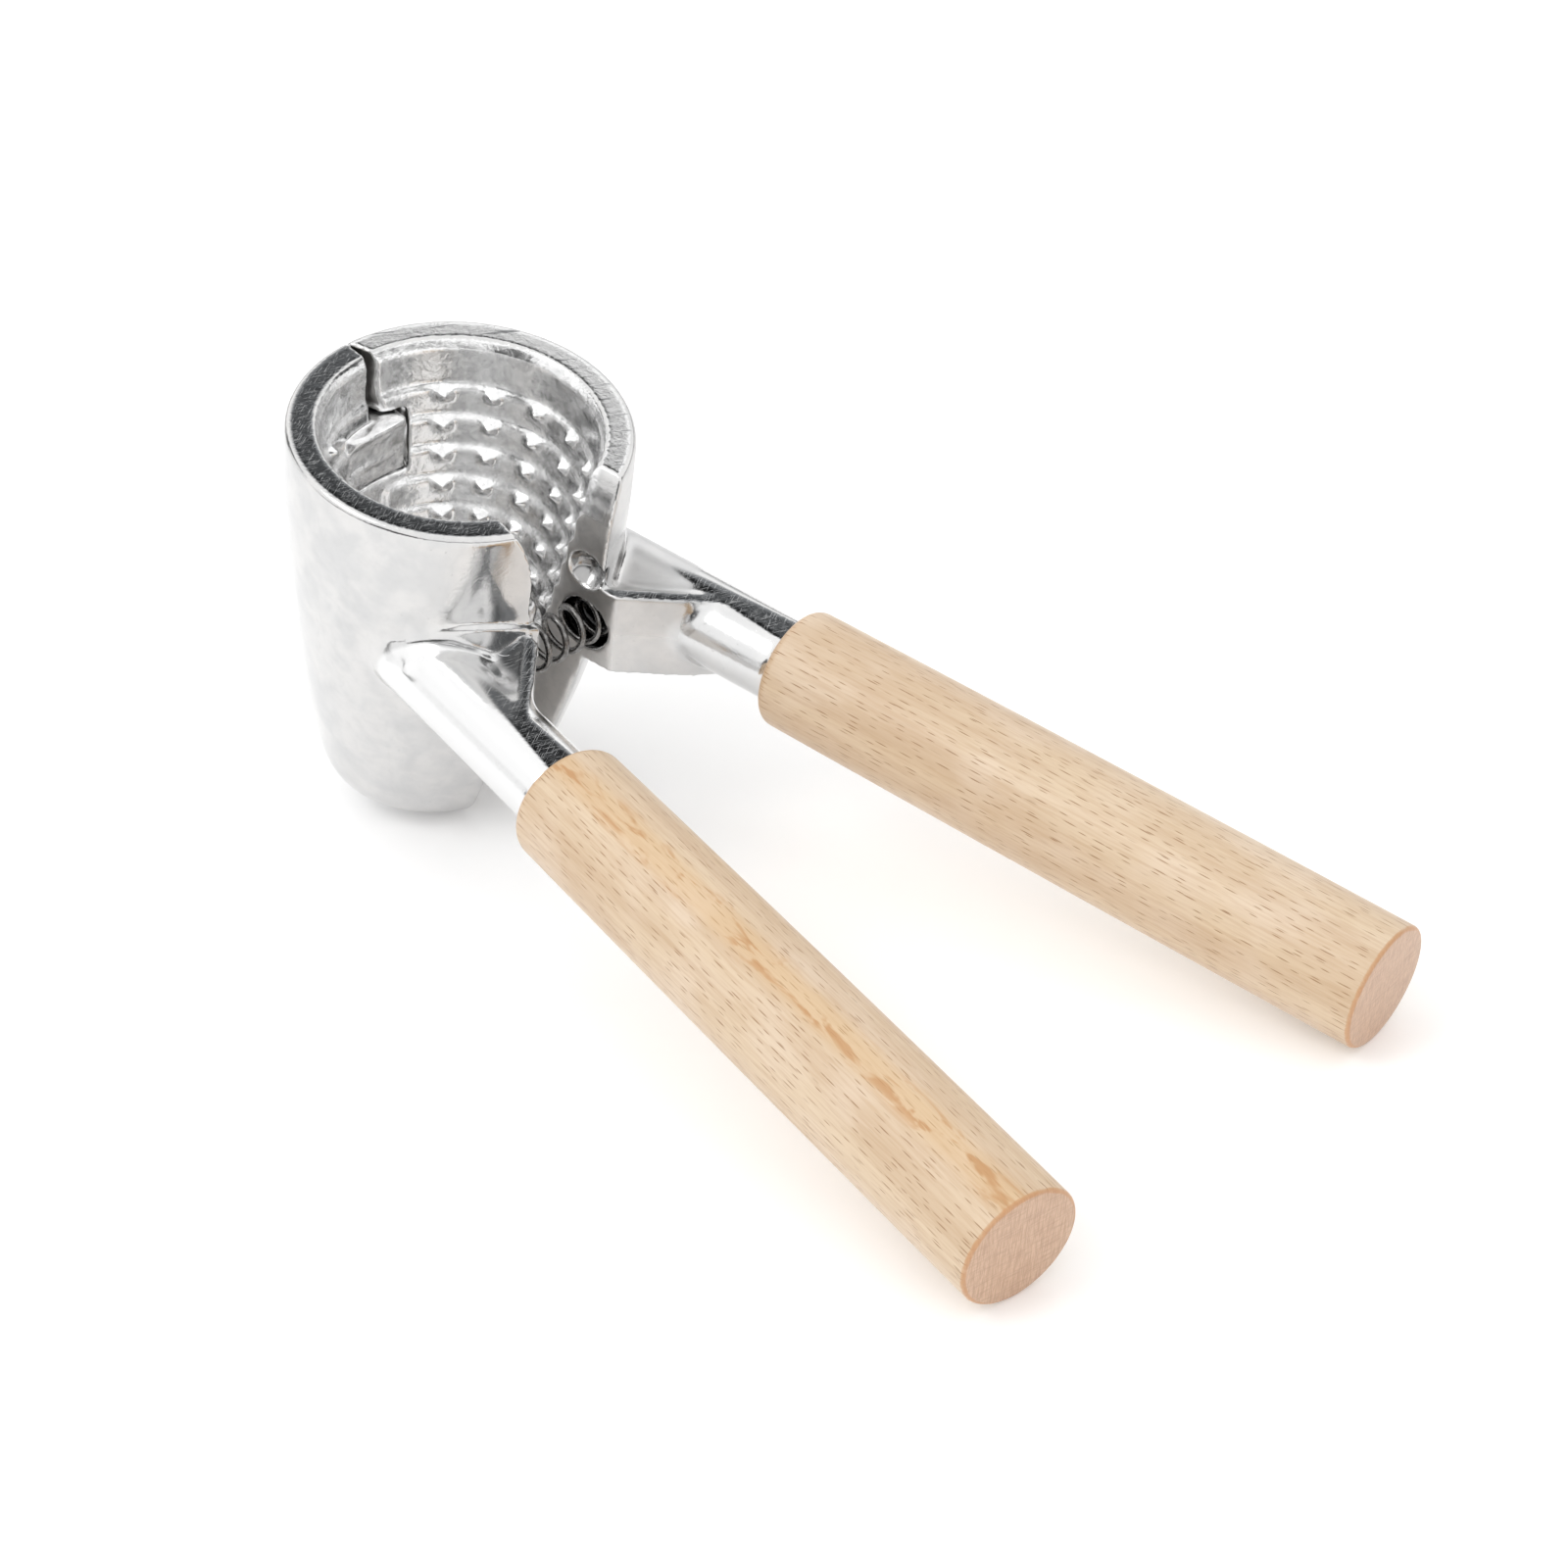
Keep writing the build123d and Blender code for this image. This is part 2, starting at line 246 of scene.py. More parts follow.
def casting_material():
    """Cast aluminium; the jaws' meshes say where it is ground, brushed, satin or as cast, and where
    reflections, a highlight and shade are painted on.
    """
    graph = Finish("cast_aluminium")
    place = graph.attribute("cup_place")
    ground = graph.attribute("ground", "Fac")
    inner = graph.attribute("inner", "Fac")
    parting = graph.attribute("parting", "Fac")
    hollow = graph.attribute("hollow", "Fac")
    pocket = graph.attribute("pocket", "Fac")
    tone = graph.attribute("tone", "Fac")
    satin = graph.attribute("satin", "Fac")
    bar = graph.attribute("bar", "Fac")

    cloud = graph.noise(place, 0.16, 3.0, 0.5, 0.3)
    mottle = graph.noise(place, 0.5, 4.0, 0.6, 0.6)
    grain = graph.noise(place, 5.0, 3.0, 0.6)
    pits = graph.between(graph.noise(place, 1.9, 2.0, 0.5), 0.7, 0.78)
    one_way = scratches(graph, place, 0.35, 0.1, 3.0)
    other_way = scratches(graph, place, -0.5, 0.12, 11.0)
    cross = graph.math("MAXIMUM", one_way, other_way)
    brushed = scratches(graph, place, 0.9, 0.13, 5.0)

    # The skin as cast, with a painted highlight that whitens the bars
    skin = graph.mix(graph.between(cloud, 0.35, 0.65), grey(0.62), grey(0.69, 0.01))
    skin = graph.mix(graph.between(mottle, 0.4, 0.8, 0, 0.25), skin, grey(0.52))
    skin = graph.mix(graph.math("MULTIPLY", pits, 0.3), skin, grey(0.35))
    skin = graph.mix(bar, skin, grey(0.8))
    lining = graph.mix(graph.between(mottle, 0.35, 0.65), grey(0.74), grey(0.94))
    face = graph.mix(graph.between(mottle, 0.3, 0.7), grey(0.55, 0.02), grey(0.62, 0.03))

    # Ground flats in a painted reflection, dark with pale scratches, or pale with dark ones and
    # dark streaks where it is painted pale
    streaks = graph.noise(graph.stretch(graph.turn(place, 0.5), (0.9, 0.05, 0)), 1.0, 3.0, 0.6)
    painted_rim_reflection = graph.math("MULTIPLY", tone, graph.between(streaks, 0.33, 0.42, 0.2, 1.0))
    flat = graph.mix(painted_rim_reflection, grey(0.15, -0.04), grey(0.78))
    cut = graph.mix(tone, grey(0.65), grey(0.28))
    flat = graph.mix(graph.math("MULTIPLY", cross, 0.7), flat, cut)

    # The brushed hollow of the web, in the same two painted reflections
    scraped = graph.mix(tone, grey(0.1, -0.03), grey(0.72))
    scratch = graph.mix(tone, grey(0.75), grey(0.25))
    scraped = graph.mix(graph.math("MULTIPLY", brushed, 0.85), scraped, scratch)

    color = graph.mix(hollow, skin, scraped)
    color = graph.mix(inner, color, lining)
    color = graph.mix(parting, color, face)
    color = graph.mix(ground, color, flat)
    # Painted shade in the spring's pocket and the dimple
    color = graph.mix(pocket, color, grey(0.05))

    rough = graph.between(grain, 0.3, 0.7, 0.11, 0.2)
    rough = graph.blend(satin, rough, 0.42)
    rough = graph.blend(inner, rough, graph.between(mottle, 0.35, 0.65, 0.1, 0.22))
    rough = graph.blend(parting, rough, 0.38)
    rough = graph.blend(ground, rough, 0.16)
    graph.set(Base_Color=color, Metallic=1.0, Roughness=rough)

    rumple = graph.noise(place, 0.8, 3.0, 0.55, 0.8)
    flat_cuts = graph.math("MULTIPLY", cross, ground)
    hollow_cuts = graph.math("MULTIPLY", brushed, hollow)
    graph.bump([
        (graph.math("MULTIPLY", rumple, graph.blend(inner, 0.3, 1.0)), 0.35, 0.2),
        (grain, 0.2, 0.02),
        (graph.math("MAXIMUM", flat_cuts, hollow_cuts), 0.4, 0.02),
        (graph.math("MULTIPLY", pits, -1.0), 0.4, 0.04),
    ])
    return graph.material


def steel_material(name, dark, light, roughness):
    """Bare steel with faint stains, mixed from two colours."""
    graph = Finish(name)
    place = graph.add("ShaderNodeTexCoord", {}, "Object")
    stain = graph.noise(place, 900.0, 3.0, 0.6)
    streak = graph.noise(place, 4000.0, 2.0, 0.5)
    color = graph.mix(graph.between(stain, 0.35, 0.65), dark, light)
    rough = graph.between(streak, 0.3, 0.7, roughness, roughness + 0.12)
    graph.set(Base_Color=color, Metallic=1.0, Roughness=rough)
    graph.bump([(streak, 0.2, 0.01)])
    return graph.material


# The beech's flecks: half length, half width, and spacing along and around the grip, in millimetres
LONG_FLECK = (1.6, 0.11, 5.4, 1.4)
SHORT_FLECK = (1.05, 0.095, 4.1, 1.15)


def fleck_layer(graph, skin, seed, half_length, half_width, along, around):
    """Short dark dashes along the grain, scattered in staggered rows."""
    place = graph.stretch(skin, (1 / along, 1 / around, 0), (seed, seed / 3, 0))
    cells = graph.tree.nodes.new("ShaderNodeTexVoronoi")
    cells.voronoi_dimensions = "2D"
    graph.wire(cells.inputs["Vector"], place)
    graph.wire(cells.inputs["Scale"], 1.0)
    graph.wire(cells.inputs["Randomness"], 0.65)
    wires = {0: place, 1: cells.outputs["Position"]}
    offset = graph.add("ShaderNodeVectorMath", wires, operation="SUBTRACT")
    inside = graph.stretch(offset, (along / half_length, around / half_width, 0))
    reach = graph.add("ShaderNodeVectorMath", {0: inside}, "Value", operation="LENGTH")
    chance = graph.add("ShaderNodeSeparateXYZ", {0: cells.outputs["Color"]})
    dash = graph.between(reach, 1.0, 0.35)
    return graph.math("MULTIPLY", dash, graph.between(chance, 0.05, 0.75, 0.1, 1.0))


def beech_material(name, seed, blotch_at, blotch_half):
    """Beech, read from each point's place along, around and across the grip, in millimetres."""
    graph = Finish(name)
    skin = graph.attribute("skin")
    body = graph.attribute("grain")
    end = graph.attribute("end", "Fac")
    rim = graph.attribute("rim", "Fac")
    parts = graph.tree.nodes.new("ShaderNodeSeparateXYZ")
    graph.wire(parts.inputs[0], skin)
    along, around = parts.outputs[0], parts.outputs[1]

    # The side's figure, fibres and flecks
    figure = graph.noise(graph.stretch(body, (0.02, 0.22, 0.22), (seed, 0, 0)), 1.0, 4.0, 0.55, 0.4)
    fibre = graph.noise(graph.stretch(body, (0.12, 2.6, 2.6), (seed, 5, 0)), 1.0, 3.0, 0.6)
    cloud = graph.noise(graph.stretch(body, (0.06, 0.11, 0.11), (seed, 9, 0)), 1.0)
    figure = graph.between(figure, 0.35, 0.65)
    color = graph.mix(figure, (0.69, 0.54, 0.375, 1), (0.6, 0.44, 0.29, 1))
    color = graph.mix(graph.between(cloud, 0.45, 0.7, 0, 0.6), color, (0.73, 0.59, 0.45, 1))
    color = graph.mix(graph.between(fibre, 0.4, 0.68, 0, 0.35), color, (0.5, 0.32, 0.18, 1))

    long_flecks = fleck_layer(graph, skin, seed, *LONG_FLECK)
    short_flecks = fleck_layer(graph, skin, seed + 7, *SHORT_FLECK)
    flecks = graph.math("MAXIMUM", long_flecks, short_flecks)
    color = graph.mix(graph.math("MULTIPLY", flecks, 0.9), color, (0.31, 0.16, 0.07, 1))

    # A brown streak with knots along one side
    off = graph.math("ABSOLUTE", graph.math("SUBTRACT", around, blotch_at))
    streak = graph.between(off, blotch_half, blotch_half * 0.25)
    knots = graph.noise(graph.stretch(body, (0.1, 0.42, 0.42), (seed, 2, 4)), 1.0, 3.0, 0.6, 0.6)
    knots = graph.math("MULTIPLY", streak, graph.between(knots, 0.5, 0.62))
    color = graph.mix(graph.math("MULTIPLY", streak, 0.45), color, (0.67, 0.44, 0.22, 1))
    color = graph.mix(graph.math("MULTIPLY", knots, 0.8), color, (0.5, 0.25, 0.09, 1))

    # End grain, its worn rim and the front edge
    rays = graph.noise(graph.stretch(body, (0.3, 4.5, 0.35), (seed, 0, 1)), 1.0, 3.0, 0.65, 0.2)
    years = graph.noise(graph.stretch(body, (0.3, 0.25, 3.2), (seed, 7, 1)), 1.0, 3.0, 0.6, 0.3)
    rays = graph.between(rays, 0.35, 0.65)
    end_color = graph.mix(rays, (0.66, 0.45, 0.31, 1), (0.5, 0.31, 0.2, 1))
    end_color = graph.mix(graph.between(years, 0.45, 0.7, 0, 0.5), end_color, (0.42, 0.25, 0.16, 1))
    color = graph.mix(end, color, end_color)
    ragged = graph.math("ADD", rim, graph.math("MULTIPLY", graph.noise(body, 0.6, 3.0, 0.7), 0.6))
    ragged = graph.between(ragged, 1.0, 1.35)
    color = graph.mix(graph.math("MULTIPLY", ragged, 0.75), color, (0.55, 0.27, 0.11, 1))
    front = graph.between(along, 1.8, 0.6)
    color = graph.mix(graph.math("MULTIPLY", front, 0.35), color, (0.6, 0.35, 0.17, 1))

    graph.set(Base_Color=color, Roughness=graph.between(fibre, 0.3, 0.7, 0.42, 0.56))
    graph.set(Specular_IOR_Level=0.5, Coat_Weight=0.35, Coat_Roughness=0.3)
    graph.bump([(fibre, 0.25, 0.05), (graph.math("MULTIPLY", flecks, -1.0), 0.3, 0.05)])
    return graph.material


def paint(thing, material):
    thing.data.materials.clear()
    thing.data.materials.append(material)


# ---------------------------------------------------------------- cast jaws

VOXEL = 0.32
WELD = 1e-6

# The raised line over the near arm: its ends in degrees from the cup's front, and their heights
FILL_FROM = 13.0
FILL_TO = 58.0
BEAD_Z = (-20.1, -21.2)
BEAD_RISE = 2.9
WALL_REACH = 25.9
HOLLOW_Z = -23.4

# The corners to fillet: how hollow they are, how far they lie from the cup's axis, in front of it
# and from the parting, their heights, and how far the fillet spreads
CORNER_DENT = 0.009
CORNER_REACH = 22.4
CORNER_FRONT = -12
CORNER_DEPTH = 1.2
CORNER_HEIGHTS = (-42, -16)
CORNER_SPREAD = 7

# The rounds of smoothing for each kind of edge, and how hollow the teeth's flanks are
FILLET_ROUNDS = 60
STEP_ROUNDS = 10
EDGE_ROUNDS = 2
TOOTH_POWER = 2.3

# The glint in the near web's hollow runs along y = GLINT_Y + GLINT_SLOPE x
GLINT_Y = -6.4
GLINT_SLOPE = -0.35


def swept_tube(centres, radii, sides, axis):
    """A closed tube along points of the row frame, in metres; axis is across its bends."""
    shape = bmesh.new()
    rings = []
    last = len(centres) - 1
    for index, centre in enumerate(centres):
        ahead = centres[min(index + 1, last)] - centres[max(index - 1, 0)]
        out = np.cross(ahead, axis)
        out /= np.linalg.norm(out)
        over = np.cross(out, ahead) / np.linalg.norm(ahead)
        ring = []
        for side in range(sides):
            angle = 2 * math.pi * side / sides
            offset = (out * math.cos(angle) + over * math.sin(angle)) * radii[index]
            ring.append(shape.verts.new(centre + offset))
        rings.append(ring)
    join_rings(shape, rings)
    return shape


def join_rings(shape, rings):
    """Skins neighbouring rings of vertices and caps the two ends."""
    for one, other in zip(rings, rings[1:]):
        for side in range(len(one)):
            following = (side + 1) % len(one)
            shape.faces.new((one[side], one[following], other[following], other[side]))
    shape.faces.new(rings[0][::-1])
    shape.faces.new(rings[-1])
    bmesh.ops.recalc_face_normals(shape, faces=shape.faces)


def to_mesh(shape, name):
    mesh = bpy.data.meshes.new(name)
    shape.to_mesh(mesh)
    shape.free()
    return mesh


def bead_height(degrees):
    """Height of the raised line at an angle from the cup's front."""
    share = np.clip((degrees - FILL_FROM) / (FILL_TO - FILL_FROM), 0, 1)
    return BEAD_Z[0] + (BEAD_Z[1] - BEAD_Z[0]) * share ** 3 + BEAD_RISE * 4 * share * (1 - share)


def ledge_mesh(side):
    """The raised line on the cup's wall over the arm, and the metal in the corner under it."""
    shape = bmesh.new()
    rings = []
    for share in np.linspace(0, 1, 40):
        turn = math.radians(FILL_FROM + (FILL_TO - FILL_FROM) * share)
        bead = float(bead_height(math.degrees(turn)))
        out = 0.5 + 3.8 * float(smooth_step(math.degrees(turn), 18, 36))
        proud = 0.1 + 0.75 * math.sin(math.pi * min(1, 0.12 + share))
        section = [
            (-1.2, bead + 0.9),
            (0.0, bead + 0.75),
            (proud, bead + 0.2),
            (proud, bead - 0.4),
            (0.25 * out, bead + (HOLLOW_Z - bead) * 0.5),
            (0.5 * out, bead + (HOLLOW_Z - bead) * 0.8),
            (out, HOLLOW_Z + 0.1),
            (out, HOLLOW_Z - 2.0),
            (-1.2, HOLLOW_Z - 2.0),
        ]
        ring = []
        for off, height in section:
            reach = WALL_REACH + off
            point = (reach * math.cos(turn), side * reach * math.sin(turn), height)
            ring.append(shape.verts.new(from_cup(point)))
        rings.append(ring)
    join_rings(shape, rings)
    return to_mesh(shape, "ledge")


def edge_array(mesh):
    edges = np.empty(len(mesh.edges) * 2, np.int32)
    mesh.edges.foreach_get("vertices", edges)
    return edges.reshape(-1, 2)


def neighbour_mean(values, edges):
    """The mean of each vertex's neighbours."""
    one, other = edges.T
    count = np.bincount(edges.ravel(), minlength=len(values))
    total = np.zeros_like(values)
    for column in range(values.shape[1]):
        total[:, column] = np.bincount(one, values[other, column], len(values))
        total[:, column] += np.bincount(other, values[one, column], len(values))
    return total / count[:, None]


def relax(points, edges, weight, rounds):
    """Moves each vertex towards its neighbours' mean, as far as its weight says."""
    for _ in range(rounds):
        points = points + weight[:, None] * (neighbour_mean(points, edges) - points)
    return points


def spread(weight, edges, rounds):
    """Widens a weight to the neighbouring vertices, and softens it."""
    for _ in range(rounds):
        wider = weight.copy()
        np.maximum.at(wider, edges[:, 0], weight[edges[:, 1]])
        np.maximum.at(wider, edges[:, 1], weight[edges[:, 0]])
        weight = wider
    for _ in range(rounds // 2):
        weight = neighbour_mean(weight[:, None], edges)[:, 0]
    return weight


def slim_teeth(points):
    """Draws each tooth, a pyramid in the CAD solid, in to a narrow point with hollow flanks."""
    reach = np.hypot(points[:, 0], points[:, 1])
    below = -points[:, 2] - STEP_TOP
    step = np.clip(np.floor(below / STEP_PITCH), 0, STEP_COUNT - 1)
    drop = below - STEP_PITCH * step
    wall = BAND_R - STEP_IN * (step + 1) - STEP_DRAFT * drop / STEP_PITCH
    wall += STEP_BEVEL[0] * np.clip(1 - drop / STEP_BEVEL[1], 0, 1)
    proud = np.clip((wall - reach) / TOOTH_REACH, 0, 1.2)
    inside = (drop > 0) & (reach > 5)
    weight = inside * smooth_step(-drop, -TOOTH_SPAN - 0.5, -TOOTH_SPAN)
    slim = TOOTH_REACH * (proud - proud ** TOOTH_POWER) * weight
    scale = (reach + slim) / np.maximum(reach, 1)
    return points * np.stack((scale, scale, np.ones(len(scale))), axis=1)


def voxel_copy(node, side):
    """A jaw's CAD solid as a new piece with a fine, even mesh, and the near one's raised line."""
    mesh = frame["nodes"][node].data.copy()
    piece = new_object(node + "_casting", mesh)
    shape = bmesh.new()
    shape.from_mesh(mesh)
    bmesh.ops.remove_doubles(shape, verts=shape.verts, dist=WELD)
    if side < 0:
        shape.from_mesh(ledge_mesh(side))
    shape.to_mesh(mesh)
    shape.free()
    remesh = piece.modifiers.new("remesh", "REMESH")
    remesh.mode = "VOXEL"
    remesh.voxel_size = VOXEL * MM
    depsgraph = bpy.context.evaluated_depsgraph_get()
    even = bpy.data.meshes.new_from_object(piece.evaluated_get(depsgraph))
    piece.modifiers.clear()
    piece.data = even
    return piece


class Casting:
    """A jaw with a casting's soft edges and fillets. Its arrays have a row for each vertex."""

    def __init__(self, node, side):
        self.side = side
        self.bar_node = node.replace("jaw", "handle")
        self.piece = voxel_copy(node, side)
        self.mesh = self.piece.data
        self.edges = edge_array(self.mesh)
        points = to_cup(array_of(self.mesh))
        self.points = relax(points, self.edges, np.full(len(points), 0.5), 2)
        self.write()

        # Where each vertex is on the solid, which later smoothing leaves as it is
        x, y, self.height = self.points.T
        self.normals = normals_of(self.mesh) @ CUP_AXES.T
        self.reach = np.hypot(x, y)
        self.on_rim = smooth_step(self.height, -0.25, -0.1)
        self.on_arm = smooth_step(-np.abs(self.height - ARM_TOP), -0.25, -0.1) * (self.reach > 25.6)
        level = smooth_step(self.normals[:, 2], 0.96, 0.99)
        self.ground = level * np.maximum(self.on_rim, self.on_arm)
        facing = np.array((math.sin(OPEN_HALF), -side * math.cos(OPEN_HALF), 0))
        self.depth = -(self.points + (HINGE_REACH, 0, 0)) @ facing
        self.parting = smooth_step(self.normals @ facing, 0.85, 0.97)
        self.parting *= smooth_step(-self.depth, -0.75, -0.45)
        self.over_bead = self.height - bead_height(np.degrees(np.arctan2(side * y, x)))

    def write(self):
        """Puts the mesh's vertices where the points are."""
        self.mesh.vertices.foreach_set("co", from_cup(self.points).astype(np.float32).ravel())
        self.mesh.update()

    def fillet(self):
        """Rounds the corners where the arm meets the cup and the web meets the bar."""
        dents = neighbour_mean(self.points, self.edges) - self.points
        corner = (dents * self.normals).sum(axis=1) > CORNER_DENT
        corner &= (self.reach > CORNER_REACH) & (self.depth > CORNER_DEPTH)
        corner &= (self.points[:, 0] > CORNER_FRONT) & (self.height > CORNER_HEIGHTS[0])
        corner &= self.height < CORNER_HEIGHTS[1]
        weight = spread(corner.astype(float), self.edges, CORNER_SPREAD)
        weight *= 1 - smooth_step(self.ground, 0.1, 0.6)
        if self.side < 0:
            # The raised line stays crisp
            near_bead = smooth_step(-np.abs(self.over_bead), -1.7, -0.9)
            near_bead *= smooth_step(-self.reach, -28.0, -27.2)
            weight *= 1 - 0.96 * near_bead
        weight = 0.6 * weight * smooth_step(self.depth, 0.3, 1.8)
        self.points = relax(self.points, self.edges, weight, FILLET_ROUNDS)

    def wear(self):
        """Slims the teeth, wears the steps, and then softens every edge that isn't ground."""
        inside = (self.reach < BAND_R + 1.4) & (self.height > -70) & (self.height < -5)
        toothed = (inside & (self.parting < 0.05))[:, None]
        self.points = np.where(toothed, slim_teeth(self.points), self.points)
        self.points = relax(self.points, self.edges, 0.5 * inside, STEP_ROUNDS)
        self.points = relax(self.points, self.edges, 0.45 * (1 - self.ground), EDGE_ROUNDS)
        self.write()
        self.mesh.polygons.foreach_set("use_smooth", np.ones(len(self.mesh.polygons), bool))

    def arm_finishes_and_painted_light(self):
        """The brushed hollow, the painted pale reflection, the bar's painted highlight and the
        satin web, each from 0 to 1.
        """
        start, axis, _ = grip_axis(self.bar_node)
        from_bar = np.cross(self.points - to_cup(start), CUP_AXES @ axis)
        off_bar = np.linalg.norm(from_bar, axis=1)
        cast = 1 - self.ground

        # The web's hollow is beside the bar, above the web's foot and under the raised line
        hollow = smooth_step(off_bar, 6.7, 7.5) * smooth_step(self.height, -26.5, -25.5)
        hollow *= smooth_step(-self.over_bead, 0.6, 1.3) * smooth_step(self.reach, 26.0, 26.5)
        hollow *= smooth_step(self.normals[:, 2], 0.15, 0.5) * cast
        # The bar is painted whiter, as a highlight
        bar = smooth_step(-off_bar, -7.4, -6.8) * smooth_step(self.reach, 25.9, 26.6) * cast

        if self.side < 0:
            # A painted glint across the hollow
            off_glint = np.abs(self.points[:, 1] - GLINT_Y - GLINT_SLOPE * self.points[:, 0])
            tone = smooth_step(-off_glint, -2.5, -0.7) * (1 - self.on_rim) * (1 - self.on_arm)
            return {"hollow": hollow, "tone": tone, "bar": bar, "satin": np.zeros(len(bar))}

        # A painted reflection, pale on the flats, but dark along the rim's outer edge and down the
        # bar
        tone = self.on_rim * (1 - smooth_step(self.reach, RIM_R - 1.0, RIM_R - 0.5))
        over_bar = self.on_arm * smooth_step(-off_bar, -7.0, -6.0)
        tone += over_bar * (1 - smooth_step(self.reach, 33.0, 37.0))
        satin = smooth_step(off_bar, 6.0, 6.6) * smooth_step(self.height, -27.5, -26.5) * cast
        satin *= smooth_step(self.reach, 25.8, 26.2) * (1 - smooth_step(self.reach, 36.5, 38.5))
        # The far jaw's hollow takes a quarter of the dark painted reflection, and its bar less of
        # the painted highlight
        return {"hollow": 0.25 * hollow, "tone": tone, "bar": 0.4 * bar, "satin": satin}

    def hole_shade(self):
        """Where painted shade darkens the spring's pocket and the dimple, from 0 to 1."""
        from_spring = self.points - to_cup(np.mean(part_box("spring"), axis=0))
        beside = np.hypot(from_spring[:, 0], from_spring[:, 2])
        pocket = (beside < 4.9) * smooth_step(self.depth, 0.4, 1.2)
        pocket *= (self.reach > 15) * (self.depth < 7)
        if self.side < 0:
            return pocket
        from_dimple = np.linalg.norm(self.points - DIMPLE_AT, axis=1)
        dimple = smooth_step(self.depth, 0.2, 0.6) * smooth_step(-from_dimple, -3.9, -3.5)
        return np.maximum(pocket, 0.45 * dimple)

    def store_finishes(self):
        """Keeps each finish, and the painted reflection, highlight and shade, on the mesh, for the
        casting's material.
        """
        lining_reach = np.maximum(0, (-self.height - STEP_TOP) / STEP_PITCH)
        lining_reach = BAND_R + 1.3 - STEP_IN * lining_reach
        inner = smooth_step(lining_reach - self.reach, -0.5, 0.3) * (self.height < -0.3)
        finishes = {"cup_place": self.points, "ground": self.ground, "inner": inner}
        finishes.update(self.arm_finishes_and_painted_light())
        finishes.update({"pocket": self.hole_shade(), "parting": self.parting})
        for name, values in finishes.items():
            store(self.mesh, name, values)


def cast_copy(node, body, side):
    """The visual jaw that stands for a CAD jaw; side is 1 for the left one and -1 for the right."""
    jaw = Casting(node, side)
    jaw.fillet()
    jaw.wear()
    jaw.store_finishes()
    paint(jaw.piece, casting)
    stand_for(jaw.piece, node, body)


casting = casting_material()
cast_copy("left_jaw", "left_half", 1)
cast_copy("right_jaw", "right_half", -1)


# ---------------------------------------------------------------- handles

GRIP_SIDES = 160
GRIP_FRONT_R = 9.45
GRIP_MIDDLE_R = 9.75
GRIP_END_R = 9.78
GRIP_BORE_R = 5.03
FRONT_ROUND = 1.7
END_ROUND = 0.7


def grip_profile(length):
    """The grip's outline from the bore's edge to the middle of its end: (along, radius)."""
    profile = [(1.2, GRIP_BORE_R), (0.15, GRIP_BORE_R + 0.25), (0.0, GRIP_BORE_R + 0.6), (0.0, 6.6)]
    for turn in np.radians(np.linspace(-90, 0, 9)):
        along = FRONT_ROUND + FRONT_ROUND * math.sin(turn)
        profile.append((along, GRIP_FRONT_R - FRONT_ROUND + FRONT_ROUND * math.cos(turn)))
    for share in np.linspace(0.03, 0.97, 60):
        swell = GRIP_FRONT_R + (GRIP_END_R - GRIP_FRONT_R) * share
        swell += (GRIP_MIDDLE_R - (GRIP_FRONT_R + GRIP_END_R) / 2) * 4 * share * (1 - share)
        profile.append((length * share, swell))
    for turn in np.radians(np.linspace(0, 90, 7)):
        along = length - END_ROUND + END_ROUND * math.sin(turn)
        profile.append((along, GRIP_END_R - END_ROUND + END_ROUND * math.cos(turn)))
    for radius in (7.6, 6.0, 4.2, 2.2, 0.8):
        profile.append((length, radius))
    return profile


def turned_grip(node, body, material):
    """A wooden grip turned about the axis of its CAD solid."""
    start, axis, length = grip_axis(node)
    level = np.cross(CUP_UP, axis)
    level /= np.linalg.norm(level)
    upright = np.cross(axis, level)

    shape = bmesh.new()
    rings = []
    for along, radius in grip_profile(length):
        ring = []
        for side in range(GRIP_SIDES):
            turn = 2 * math.pi * side / GRIP_SIDES
            out = level * math.sin(turn) + upright * math.cos(turn)
            ring.append(shape.verts.new(start + (axis * along + out * radius) * MM))
        rings.append(ring)
    join_rings(shape, rings)
    mesh = to_mesh(shape, node + "_grip")
    mesh.polygons.foreach_set("use_smooth", np.ones(len(mesh.polygons), bool))

    local = (array_of(mesh) - start) / MM
    along, to_side, to_top = local @ axis, local @ level, local @ upright
    radius = np.hypot(to_side, to_top)
    store(mesh, "grain", np.stack((along, to_side, to_top), axis=1))
    end = smooth_step(along, length - 0.35, length - 0.1) * (radius < GRIP_END_R - 0.2)
    store(mesh, "end", end)
    rim = smooth_step(along, length - 1.2, length - 0.3) * smooth_step(radius, 8.6, 9.4)
    store(mesh, "rim", rim)

    # Each face's own place along and around the grip, unbroken where the turn starts again
    loops = np.empty(len(mesh.loops), np.int32)
    mesh.loops.foreach_get("vertex_index", loops)
    turns = np.arctan2(to_side, to_top)[loops]
    totals = np.array([face.loop_total for face in mesh.polygons])
    owner = np.repeat(np.arange(len(totals)), totals)
    crosses = np.zeros(len(totals), bool)
    np.logical_or.at(crosses, owner, turns > 3)
    behind = crosses[owner] & (turns < 0) & (totals[owner] == 4)
    turns = np.where(behind, turns + 2 * math.pi, turns)
    skin = np.stack((along[loops], turns * GRIP_MIDDLE_R, radius[loops]), axis=1)
    store(mesh, "skin", skin, "CORNER")

    grip = new_object(node + "_grip", mesh)
    paint(grip, material)
    stand_for(grip, node, body)


turned_grip("left_handle", "left_half", beech_material("beech_left", 4.3, 17.0, 4.0))
turned_grip("right_handle", "right_half", beech_material("beech_right", 17.1, -2.2, 3.4))


# ---------------------------------------------------------------- spring and pin

SPRING_WIRE_R = 0.53
SPRING_COIL_R = 3.28
SPRING_TURNS = 7.4
CLOSED_PITCH = 0.36
FIRST_TURN = 0.6
WIRE_SIDES = 14
STEPS_PER_TURN = 40


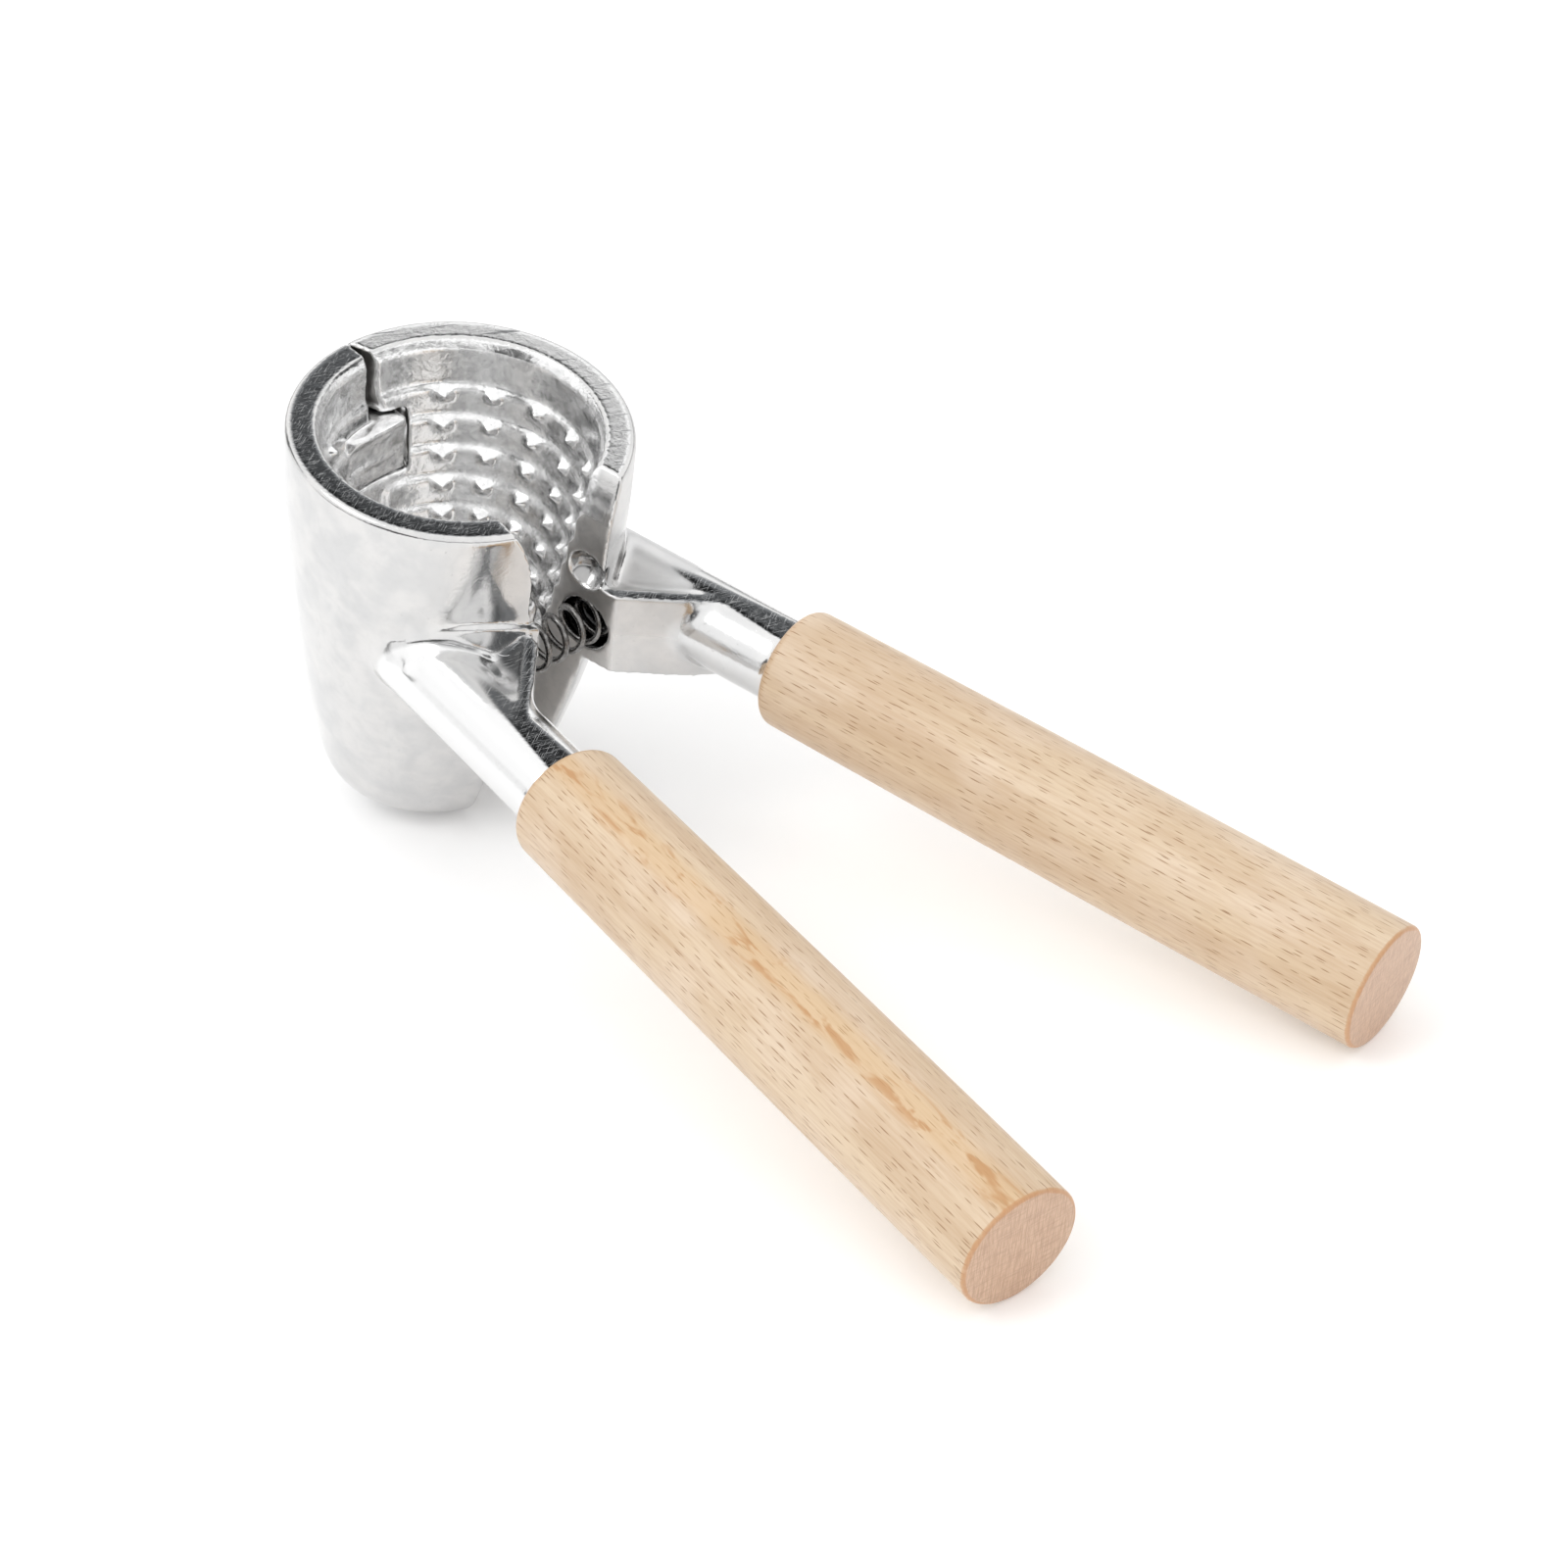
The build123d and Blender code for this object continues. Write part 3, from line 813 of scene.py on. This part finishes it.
def coil_spring():
    """A compression spring with closed ends, between the bottoms of the two pockets."""
    low, high = (np.array(corner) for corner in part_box("spring"))
    centre = (low + high) / 2
    length = (high[1] - low[1]) / MM
    share = np.linspace(0, 1, int(SPRING_TURNS * STEPS_PER_TURN) + 1)
    opened = (1 - CLOSED_PITCH) * smooth_step(share, 0.06, 0.2) * smooth_step(-share, -0.94, -0.8)
    pitch = CLOSED_PITCH + opened
    travel = np.concatenate(([0], np.cumsum((pitch[1:] + pitch[:-1]) / 2)))
    travel = (travel / travel[-1] - 0.5) * (length - 2.3 * SPRING_WIRE_R)
    turn = share * SPRING_TURNS * 2 * math.pi + FIRST_TURN
    line = np.outer(SPRING_COIL_R * np.cos(turn), CUP_FRONT)
    line += np.outer(SPRING_COIL_R * np.sin(turn), CUP_UP) + np.outer(travel, SIDE)
    radii = np.full(len(line), SPRING_WIRE_R * MM)
    mesh = to_mesh(swept_tube(centre + line * MM, radii, WIRE_SIDES, SIDE), "spring_coil")
    mesh.polygons.foreach_set("use_smooth", np.ones(len(mesh.polygons), bool))
    spring = new_object("spring_coil", mesh)
    paint(spring, steel_material("spring_steel", grey(0.12, 0.03), grey(0.25, 0.02), 0.18))
    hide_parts("spring")
    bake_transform(spring)


coil_spring()
paint(frame["nodes"]["hinge_pin"], steel_material("pin_steel", grey(0.5), grey(0.6), 0.25))


# ---------------------------------------------------------------- floor, light and camera

paper = Finish("paper")
paper_place = paper.add("ShaderNodeTexCoord", {}, "Object")
paper_color = paper.mix(paper.noise(paper_place, 300.0), grey(0.9), grey(0.92))
paper.set(Base_Color=paper_color, Roughness=0.9)
paper.set(Emission_Color=(1, 1, 1, 1), Emission_Strength=0.15)
bpy.ops.mesh.primitive_plane_add(size=8, location=(0, 0, 0))
floor = bpy.context.object
floor.name = "floor"
paint(floor, paper.material)

# The sky's strength, and how it darkens downwards: the heights where that ends and starts, and the
# brightness it reaches
LIGHT = 1.22
HORIZON = (0.02, 0.3, 0.28)

# Screens round the object, which its metal reflects
SCREENS = [
    # how it joins the light, its direction, the degrees where its edge starts and ends, brightness
    ("MULTIPLY", (-0.325, 0.42, 0.848), 10.3, 11.8, 0.02),
    ("MULTIPLY", (-0.22, -0.56, 0.8), 7, 15, 4.0),
    ("MULTIPLY", (0.55, 0.6, 0.25), 14, 22, 0.1),
    ("MULTIPLY", (-0.9, -0.3, 0.3), 12, 20, 0.15),
    ("MULTIPLY", (0.2, -0.95, 0.12), 12, 20, 0.15),
    # A pale one that hides the dark horizon from the near bar
    ("MAXIMUM", (-0.86, -0.5, 0.1), 14, 24, 0.95),
]

studio = bpy.data.worlds.new("studio")
bpy.context.scene.world = studio
sky = Graph(studio)
direction = sky.add("ShaderNodeTexCoord", {}, "Generated")
shade = sky.between(sky.add("ShaderNodeSeparateXYZ", {0: direction}, 2), *HORIZON)
for operation, towards, inner_deg, outer_deg, brightness in SCREENS:
    wires = {0: direction, 1: Vector(towards).normalized()}
    dot = sky.add("ShaderNodeVectorMath", wires, "Value", operation="DOT_PRODUCT")
    outer, inner = math.cos(math.radians(outer_deg)), math.cos(math.radians(inner_deg))
    beside = 1.0 if operation == "MULTIPLY" else 0.0
    shade = sky.math(operation, shade, sky.between(dot, outer, inner, beside, brightness))
background = sky.tree.nodes["Background"]
sky.wire(background.inputs["Color"], shade)
sky.wire(background.inputs["Strength"], LIGHT)
bpy.context.scene.view_settings.view_transform = "Standard"

CAMERA_AT = Vector((0.4494, -0.3956, 0.4173))
CAMERA_AZIMUTH = math.radians(138.18)
CAMERA_ELEVATION = math.radians(-33.09)
CAMERA_ROLL = math.radians(-5.34)
CAMERA_LENS = 112.02

forward = Vector((
    math.cos(CAMERA_AZIMUTH) * math.cos(CAMERA_ELEVATION),
    math.sin(CAMERA_AZIMUTH) * math.cos(CAMERA_ELEVATION),
    math.sin(CAMERA_ELEVATION),
))
level = forward.cross(Vector((0, 0, 1))).normalized()
upright = level.cross(forward)
right = level * math.cos(CAMERA_ROLL) + upright * math.sin(CAMERA_ROLL)
up = right.cross(forward)

lens = bpy.data.cameras.new("camera")
lens.lens = CAMERA_LENS
lens.sensor_width = 36.0
lens.clip_start = 0.01
camera = new_object("camera", lens)
turn = Matrix((right, up, -forward)).transposed().to_4x4()
camera.matrix_world = Matrix.Translation(CAMERA_AT) @ turn
bpy.context.scene.camera = camera
